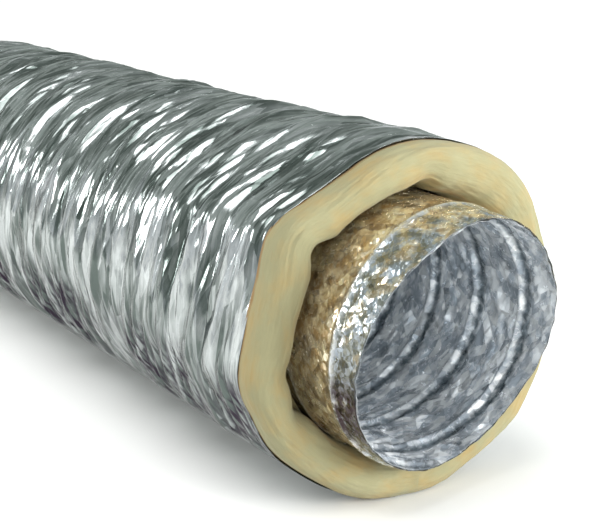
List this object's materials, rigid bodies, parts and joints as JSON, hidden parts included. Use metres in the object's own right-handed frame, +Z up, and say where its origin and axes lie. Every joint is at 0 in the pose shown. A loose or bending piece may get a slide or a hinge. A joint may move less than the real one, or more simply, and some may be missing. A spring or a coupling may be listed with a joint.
{
  "type": "insulated flexible air duct",
  "caption": "Insulated flexible air duct: wire-sprung foil core in a glass wool blanket and a crinkled foil jacket, core standing out at the mouth.",
  "frame": {"origin": "middle of the duct's length, on the ground under its axis", "axes": "+X along the duct's axis towards the mouth, where the core stands out of the wool; +Z up"},
  "size_m": [0.605, 0.1832, 0.1802],
  "materials": {
    "core_inner_foil": "polished",
    "spring_wire": "satin",
    "core_outer_foil": "polished",
    "glass_wool": "matte",
    "vapour_jacket": "polished"
  },
  "bodies": {
    "section_1": {"core_inner_foil_1": "core_inner_foil", "spring_wire_1": "spring_wire", "core_outer_foil_1": "core_outer_foil", "glass_wool_1": "glass_wool", "vapour_jacket_1": "vapour_jacket"},
    "section_2": {"core_inner_foil_2": "core_inner_foil", "spring_wire_2": "spring_wire", "core_outer_foil_2": "core_outer_foil", "glass_wool_2": "glass_wool", "vapour_jacket_2": "vapour_jacket"},
    "section_3": {"core_inner_foil_3": "core_inner_foil", "spring_wire_3": "spring_wire", "core_outer_foil_3": "core_outer_foil", "glass_wool_3": "glass_wool", "vapour_jacket_3": "vapour_jacket"},
    "section_4": {"core_inner_foil_4": "core_inner_foil", "spring_wire_4": "spring_wire", "core_outer_foil_4": "core_outer_foil", "glass_wool_4": "glass_wool", "vapour_jacket_4": "vapour_jacket"},
    "section_5": {"core_inner_foil_5": "core_inner_foil", "spring_wire_5": "spring_wire", "core_outer_foil_5": "core_outer_foil", "glass_wool_5": "glass_wool", "vapour_jacket_5": "vapour_jacket"},
    "section_6": {"core_inner_foil_6": "core_inner_foil", "spring_wire_6": "spring_wire", "core_outer_foil_6": "core_outer_foil", "glass_wool_6": "glass_wool", "vapour_jacket_6": "vapour_jacket"},
    "section_7": {"core_inner_foil_7": "core_inner_foil", "spring_wire_7": "spring_wire", "core_outer_foil_7": "core_outer_foil", "glass_wool_7": "glass_wool", "vapour_jacket_7": "vapour_jacket"},
    "section_8": {"core_inner_foil_8": "core_inner_foil", "spring_wire_8": "spring_wire", "core_outer_foil_8": "core_outer_foil", "glass_wool_8": "glass_wool", "vapour_jacket_8": "vapour_jacket"},
    "section_9": {"core_inner_foil_9": "core_inner_foil", "spring_wire_9": "spring_wire", "core_outer_foil_9": "core_outer_foil", "glass_wool_9": "glass_wool", "vapour_jacket_9": "vapour_jacket"},
    "sleeve_end": {"glass_wool_end": "glass_wool", "vapour_jacket_end": "vapour_jacket"}
  },
  "joints": [
    {"name": "side_bend_1", "type": "hinge", "parent": "section_1", "child": "section_2", "pos_m": [-0.2465, 0, 0.0886], "axis": [0, 0, 1], "range_deg": [-18, 18], "deforming": ["core_inner_foil_1", "core_outer_foil_1", "glass_wool_1", "vapour_jacket_1", "core_inner_foil_2", "core_outer_foil_2", "glass_wool_2", "vapour_jacket_2"]},
    {"name": "lift_bend_1", "type": "hinge", "parent": "section_2", "child": "section_3", "pos_m": [-0.1905, 0, 0.0886], "axis": [0, -1, 0], "range_deg": [-18, 18], "deforming": ["core_inner_foil_2", "core_outer_foil_2", "glass_wool_2", "vapour_jacket_2", "core_inner_foil_3", "core_outer_foil_3", "glass_wool_3", "vapour_jacket_3"]},
    {"name": "stretch_1", "type": "slide", "parent": "section_3", "child": "section_4", "axis": [1, 0, 0], "range_m": [-0.025, 0.008], "deforming": ["core_inner_foil_3", "core_outer_foil_3", "glass_wool_3", "vapour_jacket_3", "core_inner_foil_4", "core_outer_foil_4", "glass_wool_4", "vapour_jacket_4"]},
    {"name": "side_bend_2", "type": "hinge", "parent": "section_4", "child": "section_5", "pos_m": [-0.0785, 0, 0.0886], "axis": [0, 0, 1], "range_deg": [-18, 18], "deforming": ["core_inner_foil_4", "core_outer_foil_4", "glass_wool_4", "vapour_jacket_4", "core_inner_foil_5", "core_outer_foil_5", "glass_wool_5", "vapour_jacket_5"]},
    {"name": "lift_bend_2", "type": "hinge", "parent": "section_5", "child": "section_6", "pos_m": [-0.0225, 0, 0.0886], "axis": [0, -1, 0], "range_deg": [-18, 18], "deforming": ["core_inner_foil_5", "core_outer_foil_5", "glass_wool_5", "vapour_jacket_5", "core_inner_foil_6", "core_outer_foil_6", "glass_wool_6", "vapour_jacket_6"]},
    {"name": "stretch_2", "type": "slide", "parent": "section_6", "child": "section_7", "axis": [1, 0, 0], "range_m": [-0.025, 0.008], "deforming": ["core_inner_foil_6", "core_outer_foil_6", "glass_wool_6", "vapour_jacket_6", "core_inner_foil_7", "core_outer_foil_7", "glass_wool_7", "vapour_jacket_7"]},
    {"name": "side_bend_3", "type": "hinge", "parent": "section_7", "child": "section_8", "pos_m": [0.0895, 0, 0.0886], "axis": [0, 0, 1], "range_deg": [-18, 18], "deforming": ["core_inner_foil_7", "core_outer_foil_7", "glass_wool_7", "vapour_jacket_7", "core_inner_foil_8", "core_outer_foil_8", "glass_wool_8", "vapour_jacket_8"]},
    {"name": "lift_bend_3", "type": "hinge", "parent": "section_8", "child": "section_9", "pos_m": [0.1455, 0, 0.0886], "axis": [0, -1, 0], "range_deg": [-18, 18], "deforming": ["core_inner_foil_8", "core_outer_foil_8", "glass_wool_8", "vapour_jacket_8", "core_inner_foil_9", "core_outer_foil_9", "glass_wool_9", "vapour_jacket_9"]},
    {"name": "sleeve_slide", "type": "slide", "parent": "section_9", "child": "sleeve_end", "axis": [1, 0, 0], "range_m": [-0.035, 0.025], "deforming": ["glass_wool_end", "vapour_jacket_end", "glass_wool_9", "vapour_jacket_9"]}
  ],
  "couplings": [
    {"joint": "side_bend_2", "follows": "side_bend_1", "ratio": 1},
    {"joint": "lift_bend_2", "follows": "lift_bend_1", "ratio": 1},
    {"joint": "stretch_2", "follows": "stretch_1", "ratio": 1},
    {"joint": "side_bend_3", "follows": "side_bend_1", "ratio": 1},
    {"joint": "lift_bend_3", "follows": "lift_bend_1", "ratio": 1}
  ]
}
